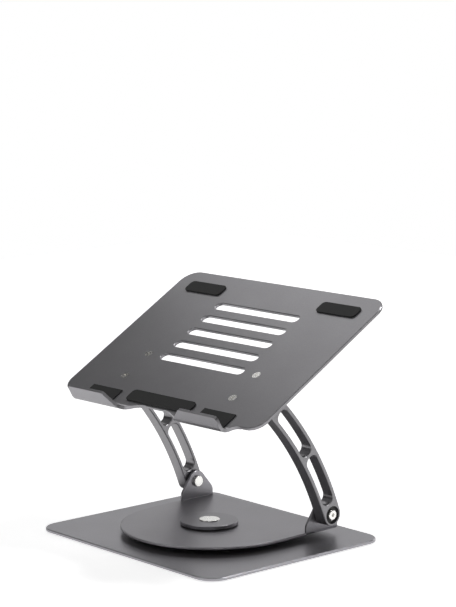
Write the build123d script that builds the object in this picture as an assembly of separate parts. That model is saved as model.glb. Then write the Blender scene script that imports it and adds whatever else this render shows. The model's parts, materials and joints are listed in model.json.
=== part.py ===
from build123d import *
import math
import os

# Turntable laptop stand, millimetres. X runs across the stand, Y to the rear, Z up.
# The origin is on the ground under the middle of the base plate, which is also the turning axis.

# base plate and feet: the turntable stands a little turned on them
BASE_WIDTH = 233.0
BASE_DEPTH = 202.0
BASE_THICK = 2.5
BASE_CORNER_R = 18.0
BASE_CHAMFER = 0.7
BASE_TURN = -1.86
FOOT_R = 9.0
FOOT_HEIGHT = 1.0
FOOT_INSET = 20.0
BASE_TOP = FOOT_HEIGHT + BASE_THICK

# centre pivot of the turntable
SPINDLE_R = 8.0
SPINDLE_FLANGE_R = 14.0
SPINDLE_FLANGE_THICK = 1.0
SPINDLE_FLANGE_POCKET_R = 14.2
SPINDLE_FLANGE_LIFT = 0.1
FIXED_CLEARANCE = 0.02
RUN_CLEARANCE = 0.06
RACE_IN_R = 22.0
RACE_OUT_R = 36.0
RACE_THICK = 0.9
BALL_R = 1.43
BALL_COUNT = 18
BALL_CIRCLE_R = 29.0
CAGE_IN_R = 25.0
CAGE_OUT_R = 33.0
CAGE_THICK = 1.4
CAGE_POCKET_R = 1.55
GLIDE_RING_R = 23.0
GLIDE_RING_THICK = 1.0
GLIDE_GAP = 0.05
DISC_R = 25.5
DISC_THICK = 3.0
DISC_EDGE = 0.6
CENTRE_SCREW_R = 4.0
CENTRE_HEAD_R = 9.1
CENTRE_HEAD_THICK = 0.9
CENTRE_SCREW_LENGTH = 10.5
CENTRE_SLOT_WIDTH = 1.2
CENTRE_SLOT_DEPTH = 0.6
CENTRE_SLOT_ANGLE = -45.0

# turntable sheet with two ears
SHEET = 2.5
TURN_BOTTOM = 8.2
TURN_TOP = TURN_BOTTOM + SHEET
TURN_ARC_R = 80.0
TURN_ARC_Y = 2.0
EAR_OUT_X = 81.0
EAR_IN_X = EAR_OUT_X - SHEET
SIDE_START_Y = 14.0
SIDE_END_Y = 78.5
EAR_FRONT_Y = 39.7
EAR_SHOULDER_R = 9.2
EAR_SHOULDER_Z = 14.0
EAR_TOP_R = 9.8
BEND_IN_R = 0.2
BEND_OUT_R = BEND_IN_R + SHEET
SHEET_EDGE = 0.4
RIM_EDGE_R = 1.1
EAR_FLAT = 1.5

# arms: a circular arc between the two pivots, seen from the side
LOWER_Y = 58.3
LOWER_Z = 26.0
ARC_R = 277.4
START_ANGLE = 20.55
ARM_LENGTH = 134.0
ARM_HALF = 9.8
RAIL = 3.05
SLOT_END_R = 6.0
LOWER_SLOT_FROM = 11.6
LOWER_SLOT_TO = 62.4
UPPER_SLOT_FROM = 66.3
UPPER_SLOT_TO = 119.6
ARM_IN_X = 82.2
ARM_OUT_X = 94.5
ARM_EDGE = 0.6

# pivot hardware, the same at all four pivots
SLEEVE_R = 4.0
SLEEVE_HEAD_R = 5.1
SLEEVE_HEAD_THICK = 2.5
SLEEVE_HEAD_EDGE = 0.5
SLEEVE_OVER = 0.05
THREAD_R = 2.5
PIVOT_SCREW_LENGTH = 12.0
PIVOT_HEAD_R = 4.6
PIVOT_HEAD_THICK = 2.35
PIVOT_HEAD_EDGE = 0.9
PIVOT_SOCKET_R = 1.9
PIVOT_SOCKET_DEPTH = 1.6
BUSH_OUT_R = 5.0
COUNTERBORE_R = 7.9
COUNTERBORE_DEPTH = 3.5
RING_R = 7.6
RING_THICK = 1.5
FRICTION_R = 9.0

# tray: its own frame has x across, y up the slope from the front stop, z out of the top face
TRAY_TILT = 29.5
TRAY_Y = -71.36
TRAY_Z = 120.34
TRAY_THICK = 3.0
TRAY_HALF_WIDTH = 125.0
TRAY_FRONT = 8.4
TRAY_REAR = 190.0
TRAY_FRONT_R = 14.0
TRAY_REAR_R = 16.0
LIP_IN_X = 48.9
LIP_OUT_X = 94.4
LIP_TOP = 15.8
LIP_TOP_R = 3.0
LIP_OUT_Y = -3.5
LIP_BEND_IN_R = 5.15
LIP_BEND_OUT_R = LIP_BEND_IN_R + TRAY_THICK
LIP_IN_TAPER = 1.0
LIP_IN_FLARE_R = 30.0
LIP_OUT_TAPER = 0.0
LIP_OUT_FLARE_R = 10.7
LIP_STATIONS = 16
SLOT_COUNT = 5
VENT_LENGTH = 104.0
VENT_WIDTH = 9.0
VENT_PITCH = 19.0
VENT_FIRST = 72.0
TRAY_EDGE = 0.5
LIP_FLAT = 12.0

# tray pads
PAD_THICK = 1.2
FRONT_PAD_HALF = 40.0
FRONT_PAD_Y = 17.0
FRONT_PAD_DEPTH = 14.0
REAR_PAD_WIDTH = 46.0
REAR_PAD_X = 84.0
REAR_PAD_Y = 168.0
LIP_PAD_WIDTH = 38.0
LIP_PAD_THICK = 0.9
LIP_PAD_DEPTH = 20.0
LIP_PAD_TOP = 13.6
PAD_CORNER_R = 4.0

# tray brackets
BRACKET_HALF = 25.0
BRACKET_FLANGE_IN_X = 60.0
BRACKET_BEND_IN_R = 2.0
BRACKET_CORNER_R = 4.0
BRACKET_SCREW_X = 68.5
BRACKET_SCREW_STEP = 16.0
BRACKET_SCREW_R = 2.0
BRACKET_SCREW_HEAD_R = 3.8
BRACKET_SCREW_HEAD_THICK = 1.9
BRACKET_SCREW_SOCKET_R = 1.2
BRACKET_SCREW_SOCKET_DEPTH = 1.2
COUNTERSINK_CLEARANCE = 0.08

HEX = 6
BIG = 400.0

# heights that follow from the ones above
DISC_BOTTOM = TURN_TOP + 2 * GLIDE_GAP + GLIDE_RING_THICK
DISC_TOP = DISC_BOTTOM + DISC_THICK
BEARING_MIDDLE = (BASE_TOP + TURN_BOTTOM) / 2
SLEEVE_END_X = ARM_OUT_X - COUNTERBORE_DEPTH + SLEEVE_OVER
LIP_FLAT_RUN = TRAY_FRONT - LIP_OUT_Y - LIP_BEND_OUT_R
LIP_BEND_RUN = math.pi / 2 * (LIP_BEND_IN_R + TRAY_THICK / 2)
LIP_RUN = LIP_FLAT_RUN + LIP_BEND_RUN + LIP_TOP - LIP_BEND_IN_R
TRAY_FRAME = Location((0, TRAY_Y, TRAY_Z), (TRAY_TILT, 0, 0))


def arc_point(run, offset):
    """Point (y, z) on the arm's centre line at a run from the lower pivot, offset to the front."""
    start = math.radians(START_ANGLE)
    angle = start + run / ARC_R
    y = LOWER_Y - ARC_R * (math.cos(start) - math.cos(angle))
    z = LOWER_Z + ARC_R * (math.sin(angle) - math.sin(start))
    return (y - offset * math.cos(angle), z - offset * math.sin(angle))


UPPER_Y, UPPER_Z = arc_point(ARM_LENGTH, 0)


def tray_local(y, z):
    """The stand's (y, z) in the tray's own frame."""
    tilt = math.radians(TRAY_TILT)
    dy = y - TRAY_Y
    dz = z - TRAY_Z
    return (dy * math.cos(tilt) + dz * math.sin(tilt), dz * math.cos(tilt) - dy * math.sin(tilt))


UPPER_LOCAL_Y, UPPER_LOCAL_Z = tray_local(UPPER_Y, UPPER_Z)


def cylinder_z(radius, bottom, height, x=0.0, y=0.0):
    return Pos(x, y, bottom) * Cylinder(radius, height, align=(Align.CENTER, Align.CENTER, Align.MIN))


def cylinder_x(radius, start, length, y, z):
    """Cylinder along +X from start."""
    return Pos(start, y, z) * Rot(0, 90, 0) * Cylinder(
        radius, length, align=(Align.CENTER, Align.CENTER, Align.MIN)
    )


def ring_z(out_r, in_r, bottom, height):
    return cylinder_z(out_r, bottom, height) - cylinder_z(in_r, bottom, height)


def ring_x(out_r, in_r, start, length, y, z):
    return cylinder_x(out_r, start, length, y, z) - cylinder_x(in_r, start, length, y, z)


def side_prism(face_yz, start, length):
    """Solid made by sweeping a side-view face (drawn as x = Y, y = Z) along +X."""
    plane = Plane(origin=(start, 0, 0), x_dir=(0, 1, 0), z_dir=(1, 0, 0))
    return extrude(plane * face_yz, length)


def mirrored(part):
    return mirror(part, about=Plane.YZ)


def box_between(low, high):
    size = [high[i] - low[i] for i in range(3)]
    return Pos(*low) * Box(*size, align=(Align.MIN, Align.MIN, Align.MIN))


def make_base_plate():
    outline = Rot(0, 0, BASE_TURN) * RectangleRounded(BASE_WIDTH, BASE_DEPTH, BASE_CORNER_R)
    plate = extrude(Pos(0, 0, FOOT_HEIGHT) * outline, BASE_THICK)
    plate = chamfer(plate.faces().sort_by(Axis.Z)[-1].edges(), BASE_CHAMFER)
    plate -= cylinder_z(SPINDLE_R + FIXED_CLEARANCE, 0, BASE_TOP)
    pocket_top = FOOT_HEIGHT + SPINDLE_FLANGE_LIFT + SPINDLE_FLANGE_THICK
    plate -= cylinder_z(SPINDLE_FLANGE_POCKET_R, 0, pocket_top)
    return plate


def make_foot(side_x, side_y):
    x = side_x * (BASE_WIDTH / 2 - FOOT_INSET)
    y = side_y * (BASE_DEPTH / 2 - FOOT_INSET)
    return Rot(0, 0, BASE_TURN) * cylinder_z(FOOT_R, 0, FOOT_HEIGHT, x, y)


def make_spindle():
    flange_bottom = FOOT_HEIGHT + SPINDLE_FLANGE_LIFT
    spindle = cylinder_z(SPINDLE_FLANGE_R, flange_bottom, SPINDLE_FLANGE_THICK)
    spindle += cylinder_z(SPINDLE_R, flange_bottom, DISC_BOTTOM - flange_bottom)
    bore_bottom = DISC_TOP - CENTRE_SCREW_LENGTH
    spindle -= cylinder_z(CENTRE_SCREW_R + FIXED_CLEARANCE, bore_bottom, BIG)
    return spindle


def make_lower_race():
    return ring_z(RACE_OUT_R, RACE_IN_R, BASE_TOP, RACE_THICK)


def make_upper_race():
    return ring_z(RACE_OUT_R, RACE_IN_R, TURN_BOTTOM - RACE_THICK, RACE_THICK)


def ball_centres():
    points = []
    for i in range(BALL_COUNT):
        angle = 2 * math.pi * i / BALL_COUNT
        points.append((BALL_CIRCLE_R * math.cos(angle), BALL_CIRCLE_R * math.sin(angle), BEARING_MIDDLE))
    return points


def make_ball_cage():
    cage = ring_z(CAGE_OUT_R, CAGE_IN_R, BEARING_MIDDLE - CAGE_THICK / 2, CAGE_THICK)
    for x, y, z in ball_centres():
        cage -= cylinder_z(CAGE_POCKET_R, z - CAGE_THICK, 2 * CAGE_THICK, x, y)
    return cage


def make_balls():
    balls = []
    for x, y, z in ball_centres():
        balls.append(Pos(x, y, z) * Sphere(BALL_R))
    return Compound(children=balls)


def make_glide_ring():
    return ring_z(GLIDE_RING_R, SPINDLE_R + RUN_CLEARANCE, TURN_TOP + GLIDE_GAP, GLIDE_RING_THICK)


def make_disc():
    disc = cylinder_z(DISC_R, DISC_BOTTOM, DISC_THICK)
    disc = fillet(disc.faces().sort_by(Axis.Z)[-1].edges(), DISC_EDGE)
    return disc - cylinder_z(CENTRE_SCREW_R + FIXED_CLEARANCE, DISC_BOTTOM, DISC_THICK)


def make_centre_screw():
    screw = cylinder_z(CENTRE_HEAD_R, DISC_TOP, CENTRE_HEAD_THICK)
    screw = fillet(screw.faces().sort_by(Axis.Z)[-1].edges(), CENTRE_HEAD_THICK / 2)
    screw += cylinder_z(CENTRE_SCREW_R, DISC_TOP - CENTRE_SCREW_LENGTH, CENTRE_SCREW_LENGTH)
    slot = Rot(0, 0, CENTRE_SLOT_ANGLE) * Rectangle(2 * CENTRE_HEAD_R, CENTRE_SLOT_WIDTH)
    slot_bottom = DISC_TOP + CENTRE_HEAD_THICK - CENTRE_SLOT_DEPTH
    return screw - extrude(Pos(0, 0, slot_bottom) * slot, CENTRE_HEAD_THICK)


def ear_outline():
    """Side view of an ear, wider below and rounded over the pivot."""
    front = Pos(EAR_FRONT_Y + EAR_SHOULDER_R, EAR_SHOULDER_Z) * Circle(EAR_SHOULDER_R)
    rear = Pos(SIDE_END_Y - EAR_SHOULDER_R, EAR_SHOULDER_Z) * Circle(EAR_SHOULDER_R)
    top = Pos(LOWER_Y, LOWER_Z) * Circle(EAR_TOP_R)
    foot = Pos((EAR_FRONT_Y + SIDE_END_Y) / 2, (EAR_SHOULDER_Z + TURN_BOTTOM) / 2) * Rectangle(
        SIDE_END_Y - EAR_FRONT_Y, EAR_SHOULDER_Z - TURN_BOTTOM
    )
    edges = front.edges() + rear.edges() + top.edges() + foot.edges()
    return make_hull(edges)


def bent_strip(out_x, bottom, top, bend_out_r, flat_in_x, thick):
    """End view (x, z) of a sheet that lies flat and turns up at out_x."""
    centre_x = out_x - bend_out_r
    centre_z = bottom + bend_out_r
    in_r = bend_out_r - thick
    half = math.sqrt(0.5)
    with BuildSketch() as section:
        with BuildLine():
            Line((flat_in_x, bottom), (centre_x, bottom))
            ThreePointArc(
                (centre_x, bottom),
                (centre_x + bend_out_r * half, centre_z - bend_out_r * half),
                (out_x, centre_z),
            )
            Line((out_x, centre_z), (out_x, top))
            Line((out_x, top), (out_x - thick, top))
            Line((out_x - thick, top), (out_x - thick, centre_z))
            ThreePointArc(
                (out_x - thick, centre_z),
                (centre_x + in_r * half, centre_z - in_r * half),
                (centre_x, bottom + thick),
            )
            Line((centre_x, bottom + thick), (flat_in_x, bottom + thick))
            Line((flat_in_x, bottom + thick), (flat_in_x, bottom))
        make_face()
    return section.sketch


def make_ear():
    """One upright ear with its bend, on the +X side."""
    top = LOWER_Z + EAR_TOP_R + SHEET
    flat_x = EAR_OUT_X - BEND_OUT_R - EAR_FLAT
    section = bent_strip(EAR_OUT_X, TURN_BOTTOM, top, BEND_OUT_R, flat_x, SHEET)
    plane = Plane(origin=(0, SIDE_END_Y, 0), x_dir=(1, 0, 0), z_dir=(0, -1, 0))
    strip = extrude(plane * section, SIDE_END_Y - EAR_FRONT_Y)
    ear = strip & side_prism(ear_outline(), 0, BIG)
    upright = ear.faces().filter_by(Axis.X).sort_by(Axis.X)[-2:]
    rims = upright[0].edges().sort_by(Axis.Z)[1:] + upright[1].edges().sort_by(Axis.Z)[1:]
    return chamfer(rims, SHEET_EDGE)


def make_turntable_plate():
    arc = Pos(0, TURN_ARC_Y) * Circle(TURN_ARC_R)
    sides = Pos(0, (SIDE_START_Y + SIDE_END_Y) / 2) * Rectangle(2 * EAR_OUT_X, SIDE_END_Y - SIDE_START_Y)
    outline = make_hull(arc.edges() + sides.edges())
    outline -= Pos(0, SIDE_END_Y + BIG / 2) * Rectangle(BIG, BIG)
    plate = extrude(Pos(0, 0, TURN_BOTTOM) * outline, SHEET)
    flats = plate.faces().filter_by(Axis.Z)
    plate = fillet(flats[0].edges() + flats[1].edges(), RIM_EDGE_R)
    bend_x = EAR_OUT_X - BEND_OUT_R
    for side in (-1, 1):
        x0 = min(side * bend_x, side * BIG)
        x1 = max(side * bend_x, side * BIG)
        plate -= box_between((x0, EAR_FRONT_Y, 0), (x1, BIG, BIG))
    ear = make_ear()
    plate += ear
    plate += mirrored(ear)
    plate -= cylinder_z(SPINDLE_R + RUN_CLEARANCE, 0, BIG)
    plate -= cylinder_x(SLEEVE_R + FIXED_CLEARANCE, -BIG / 2, BIG, LOWER_Y, LOWER_Z)
    return plate


def arm_band(run_from, run_to, front, rear):
    """Side-view face of a stretch of the arm between two offsets from its centre line."""
    middle = (run_from + run_to) / 2
    with BuildSketch() as band:
        with BuildLine():
            ThreePointArc(arc_point(run_from, front), arc_point(middle, front), arc_point(run_to, front))
            Line(arc_point(run_to, front), arc_point(run_to, rear))
            ThreePointArc(arc_point(run_to, rear), arc_point(middle, rear), arc_point(run_from, rear))
            Line(arc_point(run_from, rear), arc_point(run_from, front))
        make_face()
    return band.sketch


def arm_slot(run_from, run_to):
    half = ARM_HALF - RAIL
    slot = arm_band(run_from, run_to, half, -half)
    return fillet(slot.vertices(), SLOT_END_R)


def make_arm():
    """The +X arm with its two slots, bores and counterbores."""
    outline = arm_band(0, ARM_LENGTH, ARM_HALF, -ARM_HALF)
    outline += Pos(LOWER_Y, LOWER_Z) * Circle(ARM_HALF)
    outline += Pos(UPPER_Y, UPPER_Z) * Circle(ARM_HALF)
    outline -= arm_slot(LOWER_SLOT_FROM, LOWER_SLOT_TO)
    outline -= arm_slot(UPPER_SLOT_FROM, UPPER_SLOT_TO)
    arm = side_prism(outline, ARM_IN_X, ARM_OUT_X - ARM_IN_X)
    rims = arm.faces().sort_by(Axis.X)[-1].edges() + arm.faces().sort_by(Axis.X)[0].edges()
    arm = chamfer(rims, ARM_EDGE)
    for y, z in ((LOWER_Y, LOWER_Z), (UPPER_Y, UPPER_Z)):
        arm -= cylinder_x(BUSH_OUT_R, 0, BIG, y, z)
        arm -= cylinder_x(COUNTERBORE_R, ARM_OUT_X - COUNTERBORE_DEPTH, BIG, y, z)
    return arm


def make_bush(y, z):
    length = ARM_OUT_X - COUNTERBORE_DEPTH - ARM_IN_X
    out_r = BUSH_OUT_R - FIXED_CLEARANCE
    return ring_x(out_r, SLEEVE_R + RUN_CLEARANCE, ARM_IN_X, length, y, z)


def make_sleeve(y, z):
    """Sleeve nut: round head inside the ear, barrel out through the arm."""
    head_x = EAR_IN_X - SLEEVE_HEAD_THICK
    head = cylinder_x(SLEEVE_HEAD_R, head_x, SLEEVE_HEAD_THICK, y, z)
    head = fillet(head.faces().sort_by(Axis.X)[0].edges(), SLEEVE_HEAD_EDGE)
    sleeve = head + cylinder_x(SLEEVE_R, head_x, SLEEVE_END_X - head_x, y, z)
    bore_x = SLEEVE_END_X + RING_THICK - PIVOT_SCREW_LENGTH
    return sleeve - cylinder_x(THREAD_R + FIXED_CLEARANCE, bore_x, BIG, y, z)


def make_friction_washer(y, z):
    thick = ARM_IN_X - EAR_OUT_X - GLIDE_GAP
    return ring_x(FRICTION_R, SLEEVE_R + FIXED_CLEARANCE, EAR_OUT_X, thick, y, z)


def make_ring_washer(y, z):
    return ring_x(RING_R, THREAD_R + FIXED_CLEARANCE, SLEEVE_END_X, RING_THICK, y, z)


def make_pivot_screw(y, z):
    head_x = SLEEVE_END_X + RING_THICK
    head = cylinder_x(PIVOT_HEAD_R, head_x, PIVOT_HEAD_THICK, y, z)
    head = fillet(head.faces().sort_by(Axis.X)[-1].edges(), PIVOT_HEAD_EDGE)
    screw = head + cylinder_x(THREAD_R, head_x - PIVOT_SCREW_LENGTH, PIVOT_SCREW_LENGTH, y, z)
    plane = Plane(origin=(head_x + PIVOT_HEAD_THICK, y, z), x_dir=(0, 1, 0), z_dir=(1, 0, 0))
    return screw - extrude(plane * RegularPolygon(PIVOT_SOCKET_R, HEX), -PIVOT_SOCKET_DEPTH)


def lip_side(run, taper, flare_r):
    """How far a lip's side stands out from its top corner, at a run along the unrolled sheet."""
    angle = math.atan(taper)
    if run > flare_r * (1 - math.sin(angle)):
        return taper * (LIP_RUN - run)
    centre = taper * (LIP_RUN - flare_r) + flare_r / math.cos(angle)
    return centre - math.sqrt(flare_r**2 - (flare_r - max(run, 0)) ** 2)


def lip_point(run, radius):
    """Point (y, z) at a run along the sheet, at a distance from the axis of its bend."""
    turn = min(max((run - LIP_FLAT_RUN) * math.pi / 2 / LIP_BEND_RUN, 0), math.pi / 2)
    back = max(LIP_FLAT_RUN - run, 0)
    rise = max(run - LIP_FLAT_RUN - LIP_BEND_RUN, 0)
    y = LIP_OUT_Y + LIP_BEND_OUT_R - radius * math.sin(turn) + back
    return (y, LIP_BEND_IN_R - radius * math.cos(turn) + rise)


def lip_section(run):
    """Face across the lip at a run, thicker than the sheet by its own thickness."""
    in_x = LIP_IN_X - lip_side(run, LIP_IN_TAPER, LIP_IN_FLARE_R)
    out_x = LIP_OUT_X + lip_side(run, LIP_OUT_TAPER, LIP_OUT_FLARE_R)
    inner = lip_point(run, LIP_BEND_IN_R - TRAY_THICK / 2)
    outer = lip_point(run, LIP_BEND_OUT_R + TRAY_THICK / 2)
    corners = [(in_x, *inner), (out_x, *inner), (out_x, *outer), (in_x, *outer)]
    return Face(Wire.make_polygon(corners, close=True))


def make_lip():
    """The +X lip with its bend, in the tray's frame; its sides flare into the tray's front edge."""
    section = bent_strip(
        -LIP_OUT_Y, -TRAY_THICK, LIP_TOP, LIP_BEND_OUT_R, -LIP_FLAT, TRAY_THICK
    )
    plane = Plane(origin=(0, 0, 0), x_dir=(0, -1, 0), z_dir=(-1, 0, 0))
    strip = extrude(plane * section, -2 * LIP_OUT_X)
    runs = [TRAY_FRONT - LIP_FLAT]
    for i in range(LIP_STATIONS + 1):
        runs.append((LIP_FLAT_RUN + LIP_BEND_RUN) * (i / LIP_STATIONS) ** 2)
    runs.append(LIP_RUN + TRAY_THICK)
    lip = strip & loft([lip_section(run) for run in runs], ruled=True)
    top_corners = lip.edges().filter_by(Axis.Y).sort_by(Axis.Z)[-2:]
    return fillet(top_corners, LIP_TOP_R)


def make_tray_plate():
    width = 2 * TRAY_HALF_WIDTH
    depth = TRAY_REAR - TRAY_FRONT
    outline = Pos(0, (TRAY_FRONT + TRAY_REAR) / 2) * Rectangle(width, depth)
    corners = outline.vertices().sort_by(Axis.Y)
    outline = fillet(corners[:2], TRAY_FRONT_R)
    outline = fillet(outline.vertices().sort_by(Axis.Y)[-2:], TRAY_REAR_R)
    for i in range(SLOT_COUNT):
        outline -= Pos(0, VENT_FIRST + i * VENT_PITCH) * SlotOverall(VENT_LENGTH, VENT_WIDTH)
    plate = extrude(Pos(0, 0, -TRAY_THICK) * outline, TRAY_THICK)
    flats = plate.faces().filter_by(Axis.Z)
    plate = chamfer(flats[0].edges() + flats[1].edges(), TRAY_EDGE)
    lip = make_lip()
    plate += lip
    plate += mirrored(lip)
    for x, y in bracket_screw_points():
        plate -= cylinder_z(BRACKET_SCREW_R + FIXED_CLEARANCE, -BIG / 2, BIG, x, y)
        head_bottom = -BRACKET_SCREW_HEAD_THICK
        plate -= Pos(x, y, head_bottom) * Cone(
            BRACKET_SCREW_R + COUNTERSINK_CLEARANCE,
            BRACKET_SCREW_HEAD_R + COUNTERSINK_CLEARANCE,
            BRACKET_SCREW_HEAD_THICK,
            align=(Align.CENTER, Align.CENTER, Align.MIN),
        )
    return plate


def bracket_screw_points():
    points = []
    for side in (-1, 1):
        for step in (-1, 1):
            points.append((side * BRACKET_SCREW_X, UPPER_LOCAL_Y + step * BRACKET_SCREW_STEP))
    return points


def make_bracket():
    """Angle bracket under the tray on the +X side, in the tray's frame."""
    out_r = BRACKET_BEND_IN_R + SHEET
    flat_top = -TRAY_THICK
    low = UPPER_LOCAL_Z - EAR_TOP_R
    section = bent_strip(EAR_OUT_X, -flat_top, -low, out_r, BRACKET_FLANGE_IN_X, SHEET)
    y_start = UPPER_LOCAL_Y - BRACKET_HALF
    plane = Plane(origin=(0, y_start, 0), x_dir=(1, 0, 0), z_dir=(0, 1, 0))
    strip = extrude(plane * section, 2 * BRACKET_HALF)
    side = Pos(UPPER_LOCAL_Y, UPPER_LOCAL_Z) * Circle(EAR_TOP_R)
    band_low = flat_top - out_r
    band = Pos(UPPER_LOCAL_Y, (flat_top + band_low) / 2) * Rectangle(2 * BRACKET_HALF, flat_top - band_low)
    outline = make_hull(side.edges() + band.edges())
    bracket = strip & side_prism(outline, BRACKET_FLANGE_IN_X, BIG)
    inner = bracket.edges().filter_by(Axis.Z).sort_by(Axis.X)[:2]
    bracket = fillet(inner, BRACKET_CORNER_R)
    bracket -= cylinder_x(SLEEVE_R + FIXED_CLEARANCE, 0, BIG, UPPER_LOCAL_Y, UPPER_LOCAL_Z)
    for x, y in bracket_screw_points():
        bracket -= cylinder_z(BRACKET_SCREW_R + FIXED_CLEARANCE, -BIG / 2, BIG, x, y)
    return bracket


def make_bracket_screws():
    screws = []
    for x, y in bracket_screw_points():
        head = Pos(x, y, -BRACKET_SCREW_HEAD_THICK) * Cone(
            BRACKET_SCREW_R,
            BRACKET_SCREW_HEAD_R,
            BRACKET_SCREW_HEAD_THICK,
            align=(Align.CENTER, Align.CENTER, Align.MIN),
        )
        shank_bottom = -TRAY_THICK - SHEET
        screw = head + cylinder_z(BRACKET_SCREW_R, shank_bottom, -shank_bottom, x, y)
        socket = Pos(x, y, 0) * RegularPolygon(BRACKET_SCREW_SOCKET_R, HEX)
        screws.append(screw - extrude(socket, -BRACKET_SCREW_SOCKET_DEPTH))
    return Compound(children=screws)


def make_flat_pad(width, depth, x, y):
    pad = Pos(x, y) * RectangleRounded(width, depth, PAD_CORNER_R)
    return extrude(pad, PAD_THICK)


def make_lip_pad():
    """Rubber liner in the +X lip: up the lip's inner face and back along the tray."""
    in_y = LIP_OUT_Y + TRAY_THICK
    section = bent_strip(-in_y, 0, LIP_PAD_TOP, LIP_BEND_IN_R, -LIP_PAD_DEPTH, LIP_PAD_THICK)
    centre = (LIP_IN_X + LIP_OUT_X) / 2
    plane = Plane(origin=(centre - LIP_PAD_WIDTH / 2, 0, 0), x_dir=(0, -1, 0), z_dir=(-1, 0, 0))
    return extrude(plane * section, -LIP_PAD_WIDTH)


def pivot_sets():
    """Hardware of the +X pivots, by name and position."""
    return (("lower", LOWER_Y, LOWER_Z), ("upper", UPPER_Y, UPPER_Z))


def both_sides(parts, name, part):
    parts[name + "_right"] = part
    parts[name + "_left"] = mirrored(part)


def make_parts():
    parts = {}
    parts["base_plate"] = make_base_plate()
    for name, side_x, side_y in (
        ("foot_front_left", -1, -1),
        ("foot_front_right", 1, -1),
        ("foot_rear_left", -1, 1),
        ("foot_rear_right", 1, 1),
    ):
        parts[name] = make_foot(side_x, side_y)
    parts["spindle"] = make_spindle()
    parts["lower_race"] = make_lower_race()
    parts["ball_cage"] = make_ball_cage()
    parts["bearing_balls"] = make_balls()
    parts["upper_race"] = make_upper_race()
    parts["glide_ring"] = make_glide_ring()
    parts["retaining_disc"] = make_disc()
    parts["centre_screw"] = make_centre_screw()
    parts["turntable_plate"] = make_turntable_plate()
    both_sides(parts, "arm", make_arm())
    for level, y, z in pivot_sets():
        both_sides(parts, level + "_bush", make_bush(y, z))
        both_sides(parts, level + "_sleeve", make_sleeve(y, z))
        both_sides(parts, level + "_friction_washer", make_friction_washer(y, z))
        both_sides(parts, level + "_ring_washer", make_ring_washer(y, z))
        both_sides(parts, level + "_pivot_screw", make_pivot_screw(y, z))
    parts["tray_plate"] = TRAY_FRAME * make_tray_plate()
    parts["front_pad"] = TRAY_FRAME * make_flat_pad(2 * FRONT_PAD_HALF, FRONT_PAD_DEPTH, 0, FRONT_PAD_Y)
    rear_pad = make_flat_pad(REAR_PAD_WIDTH, FRONT_PAD_DEPTH, REAR_PAD_X, REAR_PAD_Y)
    lip_pad = make_lip_pad()
    bracket = make_bracket()
    both_sides(parts, "rear_pad", TRAY_FRAME * rear_pad)
    both_sides(parts, "lip_pad", TRAY_FRAME * lip_pad)
    both_sides(parts, "bracket", TRAY_FRAME * bracket)
    parts["bracket_screws"] = TRAY_FRAME * make_bracket_screws()
    return parts


os.makedirs("parts", exist_ok=True)
for part_name, part_shape in make_parts().items():
    export_step(part_shape, os.path.join("parts", part_name + ".step"))
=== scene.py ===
import json
import math

import bpy
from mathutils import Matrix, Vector


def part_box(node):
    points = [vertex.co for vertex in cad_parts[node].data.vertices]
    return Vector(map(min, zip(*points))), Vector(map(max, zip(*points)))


# The laptop stand: satin grey coated metal on a plain white floor. Metres, in the CAD frame.

# camera, seen from the right of the front
CAMERA_AZIMUTH = 46.35
CAMERA_ELEVATION = 9.17
CAMERA_DISTANCE = 1.956
CAMERA_LENS = 133.7
CAMERA_SENSOR = 36.0
CAMERA_REACH = 60.0
TARGET_SIDE = 0.0165
TARGET_HEIGHT = 0.2075

# light: soft panels all round, over a floor that gives off light of its own, in a dark room
FLOOR_GLOW = 0.61
FLOOR_HALF = 1.5
FLOOR_WHITE = 0.9
FLOOR_ROUGHNESS = 0.9
ROOM_GLOW = 0.0
LIGHT_DISTANCE = 2.6
LIGHT_AIM_HEIGHT = 0.08
# name, azimuth, elevation, power in watts, width, height
# The powers of right_low, back_low, back_left_low, left_low, back_left_high and left_high are the
# output of a separate script, which solved for them by least squares against the photograph's
# brightness. front_left_high was raised from its solved 11.7, and the other four powers were set
# one by one. FLOOR_GLOW was first solved too, then moved and ended at the same value.
LIGHTS = [
    ("right_low", 136.35, 12, 2.1, 2.0, 1.0),
    ("back_low", 181.35, 12, 11.9, 2.0, 1.0),
    ("back_left_low", 226.35, 12, 4.8, 2.0, 1.0),
    ("left_low", 271.35, 12, 3.6, 2.0, 1.0),
    ("back_high", 155.0, 55, 20.0, 0.6, 0.4),
    ("back_left_high", 226.35, 42, 10.7, 1.8, 1.2),
    ("left_high", 286.35, 42, 1.8, 1.8, 1.2),
    ("front_left_high", 346.35, 42, 13.0, 1.8, 1.2),
    ("top", 46.35, 85, 5.0, 1.8, 1.8),
    ("right_spot", 70.0, 50, 2.0, 0.35, 0.35),
    ("front_low", 46.35, 20, 4.0, 2.2, 1.0),
]

# noise detail
FINE_DETAIL = 3.0
PLAIN_DETAIL = 2.0

# coat: the tones were steered by the same solve as the lights, then changed
# Each tone is partly the coat's own grey and partly painted light and shade, steered to how
# brightly each piece is lit. The turntable, disc and tray carry the arms' grey coat as lighter
# and darker copies.
BASE_COLOUR = (0.37, 0.363, 0.385)
TURNTABLE_COAT_AND_SHADE = (0.33, 0.322, 0.342)
DISC_COAT_AND_SHADE = (0.285, 0.278, 0.296)
ARM_COLOUR = (0.265, 0.26, 0.27)
TRAY_COAT_AND_SHADE = (0.315, 0.309, 0.323)
COAT_METALLIC = 0.88
COAT_ROUGHNESS = 0.33
COAT_ROUGHNESS_SPREAD = 0.05
COAT_EDGE_TINT = 0.75
COAT_VARIATION = 0.08
COAT_TONE_STOPS = (0.3, 0.7)
COAT_BUMP = 0.15
CLOUD_SCALE = 18.0
SPECKLE_SCALE = 900.0
GRAIN_SCALE = 2600.0
SPECKLE_SHARE = 0.5
GRAIN_DEPTH = 0.0001

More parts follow.
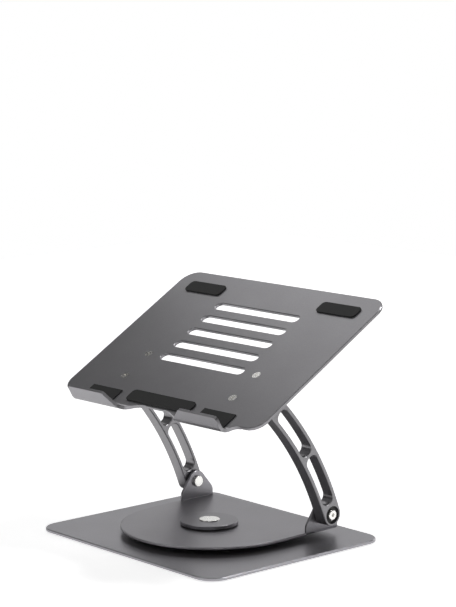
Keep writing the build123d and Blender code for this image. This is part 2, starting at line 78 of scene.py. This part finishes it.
# bright steel: rings round Z for the pieces listed here, though the bracket screws lean with the
# tray, and round X for the pivots
STEEL_DARK = (0.86, 0.85, 0.82, 1.0)
STEEL_LIGHT = (0.96, 0.95, 0.92, 1.0)
STEEL_ROUGHNESS = (0.14, 0.26)
STEEL_GRAIN_SCALE = 1800.0
STEEL_BUMP = 0.08
TURNED_SCALE = 900.0
TURNED_WANDER = 1.5
TURNED_DEPTH = 0.00005
UPRIGHT_STEEL = (
    "spindle",
    "lower_race",
    "upper_race",
    "bearing_balls",
    "centre_screw",
    "bracket_screws",
)

# rubber and nylon
RUBBER_TONE = 0.012
RUBBER_ROUGHNESS = 0.7
NYLON_TONE = 0.014
NYLON_ROUGHNESS = 0.45
RUBBER_ROUGHNESS_SPREAD = 0.06
RUBBER_GRAIN_SCALE = 1500.0
RUBBER_BUMP = 0.2

# pieces whose tone differs from their slot's: they have the same grey coat as the arms, set
# lighter or darker as painted light and shade
COAT_AND_SHADE_OF = {
    "turntable_plate": "turntable_coat_and_shade",
    "retaining_disc": "disc_coat_and_shade",
    "tray_plate": "tray_coat_and_shade",
}

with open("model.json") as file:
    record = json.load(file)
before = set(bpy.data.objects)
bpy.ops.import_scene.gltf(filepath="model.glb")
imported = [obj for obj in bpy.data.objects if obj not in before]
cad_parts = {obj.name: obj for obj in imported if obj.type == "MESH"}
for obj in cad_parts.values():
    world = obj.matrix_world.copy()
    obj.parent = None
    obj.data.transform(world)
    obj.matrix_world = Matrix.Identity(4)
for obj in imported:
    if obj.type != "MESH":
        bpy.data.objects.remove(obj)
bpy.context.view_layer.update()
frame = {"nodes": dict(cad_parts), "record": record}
nodes = frame["nodes"]


def grey(level):
    return (level, level, level, 1.0)


def direction(azimuth, elevation):
    a = math.radians(azimuth)
    e = math.radians(elevation)
    return Vector((math.sin(a) * math.cos(e), -math.cos(a) * math.cos(e), math.sin(e)))


def look_at(obj, target):
    obj.rotation_euler = (target - obj.location).to_track_quat("-Z", "Y").to_euler()


def material(name):
    made = bpy.data.materials.new(name)
    made.use_nodes = True
    shader = made.node_tree.nodes["Principled BSDF"]
    return made, made.node_tree, shader


def add(tree, kind, **inputs):
    node = tree.nodes.new(kind)
    for key, value in inputs.items():
        node.inputs[key.replace("_", " ")].default_value = value
    return node


def noise(tree, scale, detail):
    """Noise in the object's own space, so it stays on the piece when it moves."""
    place = tree.nodes.new("ShaderNodeTexCoord")
    made = add(tree, "ShaderNodeTexNoise", Scale=scale, Detail=detail)
    tree.links.new(place.outputs["Object"], made.inputs["Vector"])
    return made.outputs["Fac"]


def spread(tree, value, low, high):
    made = tree.nodes.new("ShaderNodeMapRange")
    made.inputs["To Min"].default_value = low
    made.inputs["To Max"].default_value = high
    tree.links.new(value, made.inputs["Value"])
    return made.outputs["Result"]


def add_bump(tree, shader, height, strength, depth):
    made = add(tree, "ShaderNodeBump", Strength=strength, Distance=depth)
    tree.links.new(height, made.inputs["Height"])
    tree.links.new(made.outputs["Normal"], shader.inputs["Normal"])


def coat(name, colour):
    """Satin metallic coat: fine blasted grain, with faint clouds and speckle in its tone."""
    made, tree, shader = material(name)
    clouds = noise(tree, CLOUD_SCALE, FINE_DETAIL)
    speckle = noise(tree, SPECKLE_SCALE, PLAIN_DETAIL)
    grain = noise(tree, GRAIN_SCALE, FINE_DETAIL)
    mixed = tree.nodes.new("ShaderNodeMath")
    mixed.operation = "MULTIPLY_ADD"
    mixed.inputs[1].default_value = SPECKLE_SHARE
    tree.links.new(speckle, mixed.inputs[0])
    tree.links.new(spread(tree, clouds, 0.0, 1.0 - SPECKLE_SHARE), mixed.inputs[2])
    ramp = tree.nodes.new("ShaderNodeValToRGB")
    tones = (1.0 - COAT_VARIATION, 1.0 + COAT_VARIATION)
    for stop, position, tone in zip(ramp.color_ramp.elements, COAT_TONE_STOPS, tones):
        stop.position = position
        stop.color = [tone * c for c in colour] + [1.0]
    tree.links.new(mixed.outputs["Value"], ramp.inputs["Fac"])
    tree.links.new(ramp.outputs["Color"], shader.inputs["Base Color"])
    low = COAT_ROUGHNESS - COAT_ROUGHNESS_SPREAD
    high = COAT_ROUGHNESS + COAT_ROUGHNESS_SPREAD
    tree.links.new(spread(tree, grain, low, high), shader.inputs["Roughness"])
    shader.inputs["Metallic"].default_value = COAT_METALLIC
    shader.inputs["Specular Tint"].default_value = grey(COAT_EDGE_TINT)
    add_bump(tree, shader, grain, COAT_BUMP, GRAIN_DEPTH)
    return made


def steel(node, axis):
    """Bright turned steel: fine rings round the middle of the piece's box.

    The balls and the bracket screws are many solids in one piece and share one set of rings.
    """
    made, tree, shader = material("steel_" + node)
    low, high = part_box(node)
    place = tree.nodes.new("ShaderNodeTexCoord")
    centre = tree.nodes.new("ShaderNodeMapping")
    centre.inputs["Location"].default_value = [-(a + b) / 2 for a, b in zip(low, high)]
    rings = add(tree, "ShaderNodeTexWave", Scale=TURNED_SCALE, Distortion=TURNED_WANDER)
    rings.inputs["Detail"].default_value = PLAIN_DETAIL
    rings.wave_type = "RINGS"
    rings.rings_direction = axis
    tree.links.new(place.outputs["Object"], centre.inputs["Vector"])
    tree.links.new(centre.outputs["Vector"], rings.inputs["Vector"])
    grain = noise(tree, STEEL_GRAIN_SCALE, PLAIN_DETAIL)
    ramp = tree.nodes.new("ShaderNodeValToRGB")
    ramp.color_ramp.elements[0].color = STEEL_DARK
    ramp.color_ramp.elements[1].color = STEEL_LIGHT
    tree.links.new(rings.outputs["Fac"], ramp.inputs["Fac"])
    tree.links.new(ramp.outputs["Color"], shader.inputs["Base Color"])
    shader.inputs["Metallic"].default_value = 1.0
    tree.links.new(spread(tree, grain, *STEEL_ROUGHNESS), shader.inputs["Roughness"])
    add_bump(tree, shader, rings.outputs["Fac"], STEEL_BUMP, TURNED_DEPTH)
    return made


def rubber(name, tone, roughness):
    """Dull black rubber or nylon with a fine grain."""
    made, tree, shader = material(name)
    grain = noise(tree, RUBBER_GRAIN_SCALE, FINE_DETAIL)
    low = roughness - RUBBER_ROUGHNESS_SPREAD
    high = roughness + RUBBER_ROUGHNESS_SPREAD
    tree.links.new(spread(tree, grain, low, high), shader.inputs["Roughness"])
    shader.inputs["Base Color"].default_value = grey(tone)
    add_bump(tree, shader, grain, RUBBER_BUMP, GRAIN_DEPTH)
    return made


FINISHES = {
    "base_coat": coat("base_coat", BASE_COLOUR),
    # the next three are copies of the one grey coat in other tones: painted light and shade
    "turntable_coat_and_shade": coat("turntable_coat_and_shade", TURNTABLE_COAT_AND_SHADE),
    "disc_coat_and_shade": coat("disc_coat_and_shade", DISC_COAT_AND_SHADE),
    "tray_coat_and_shade": coat("tray_coat_and_shade", TRAY_COAT_AND_SHADE),
    "grey_aluminium": coat("grey_aluminium", ARM_COLOUR),
    "rubber": rubber("rubber", RUBBER_TONE, RUBBER_ROUGHNESS),
    "black_nylon": rubber("black_nylon", NYLON_TONE, NYLON_ROUGHNESS),
}


def finish(node, slot):
    """The piece's material: steel has its own for each piece, the rest share theirs."""
    if slot == "steel":
        return steel(node, "Z" if node in UPRIGHT_STEEL else "X")
    return FINISHES[COAT_AND_SHADE_OF.get(node, slot)]


for row in frame["record"]["subparts"]:
    obj = nodes[row["node"]]
    obj.data.materials.clear()
    obj.data.materials.append(finish(row["node"], row["material_slot"]))


def make_floor():
    mesh = bpy.data.meshes.new("floor")
    mesh.from_pydata(
        [(x * FLOOR_HALF, y * FLOOR_HALF, 0) for x, y in ((-1, -1), (1, -1), (1, 1), (-1, 1))],
        [],
        [(0, 1, 2, 3)],
    )
    floor = bpy.data.objects.new("floor", mesh)
    bpy.context.scene.collection.objects.link(floor)
    made, _, shader = material("floor_white")
    shader.inputs["Base Color"].default_value = grey(FLOOR_WHITE)
    shader.inputs["Roughness"].default_value = FLOOR_ROUGHNESS
    shader.inputs["Specular IOR Level"].default_value = 0.0
    shader.inputs["Emission Color"].default_value = grey(1.0)
    shader.inputs["Emission Strength"].default_value = FLOOR_GLOW
    mesh.materials.append(made)


def make_world():
    """White where the camera looks past the floor, and ROOM_GLOW, which is dark, for all else."""
    world = bpy.data.worlds.new("studio")
    bpy.context.scene.world = world
    world.use_nodes = True
    tree = world.node_tree
    back = tree.nodes["Background"]
    back.inputs["Color"].default_value = grey(1.0)
    path = tree.nodes.new("ShaderNodeLightPath")
    glow = tree.nodes.new("ShaderNodeMapRange")
    glow.inputs["To Min"].default_value = ROOM_GLOW
    glow.inputs["To Max"].default_value = 1.0
    tree.links.new(path.outputs["Is Camera Ray"], glow.inputs["Value"])
    tree.links.new(glow.outputs["Result"], back.inputs["Strength"])


def make_lights():
    middle = Vector((0, 0, LIGHT_AIM_HEIGHT))
    for name, azimuth, elevation, power, width, height in LIGHTS:
        light = bpy.data.lights.new(name, "AREA")
        light.shape = "RECTANGLE"
        light.size = width
        light.size_y = height
        light.energy = power
        obj = bpy.data.objects.new(name, light)
        bpy.context.scene.collection.objects.link(obj)
        obj.location = middle + direction(azimuth, elevation) * LIGHT_DISTANCE
        obj.visible_camera = False
        look_at(obj, middle)


def make_camera():
    a = math.radians(CAMERA_AZIMUTH)
    right = Vector((math.cos(a), math.sin(a), 0))
    target = right * TARGET_SIDE + Vector((0, 0, TARGET_HEIGHT))
    camera = bpy.data.cameras.new("camera")
    camera.lens = CAMERA_LENS
    camera.sensor_width = CAMERA_SENSOR
    camera.clip_end = CAMERA_REACH
    obj = bpy.data.objects.new("camera", camera)
    bpy.context.scene.collection.objects.link(obj)
    obj.location = target + direction(CAMERA_AZIMUTH, CAMERA_ELEVATION) * CAMERA_DISTANCE
    look_at(obj, target)
    bpy.context.scene.camera = obj


make_floor()
make_world()
make_lights()
make_camera()
bpy.context.scene.view_settings.view_transform = "Standard"
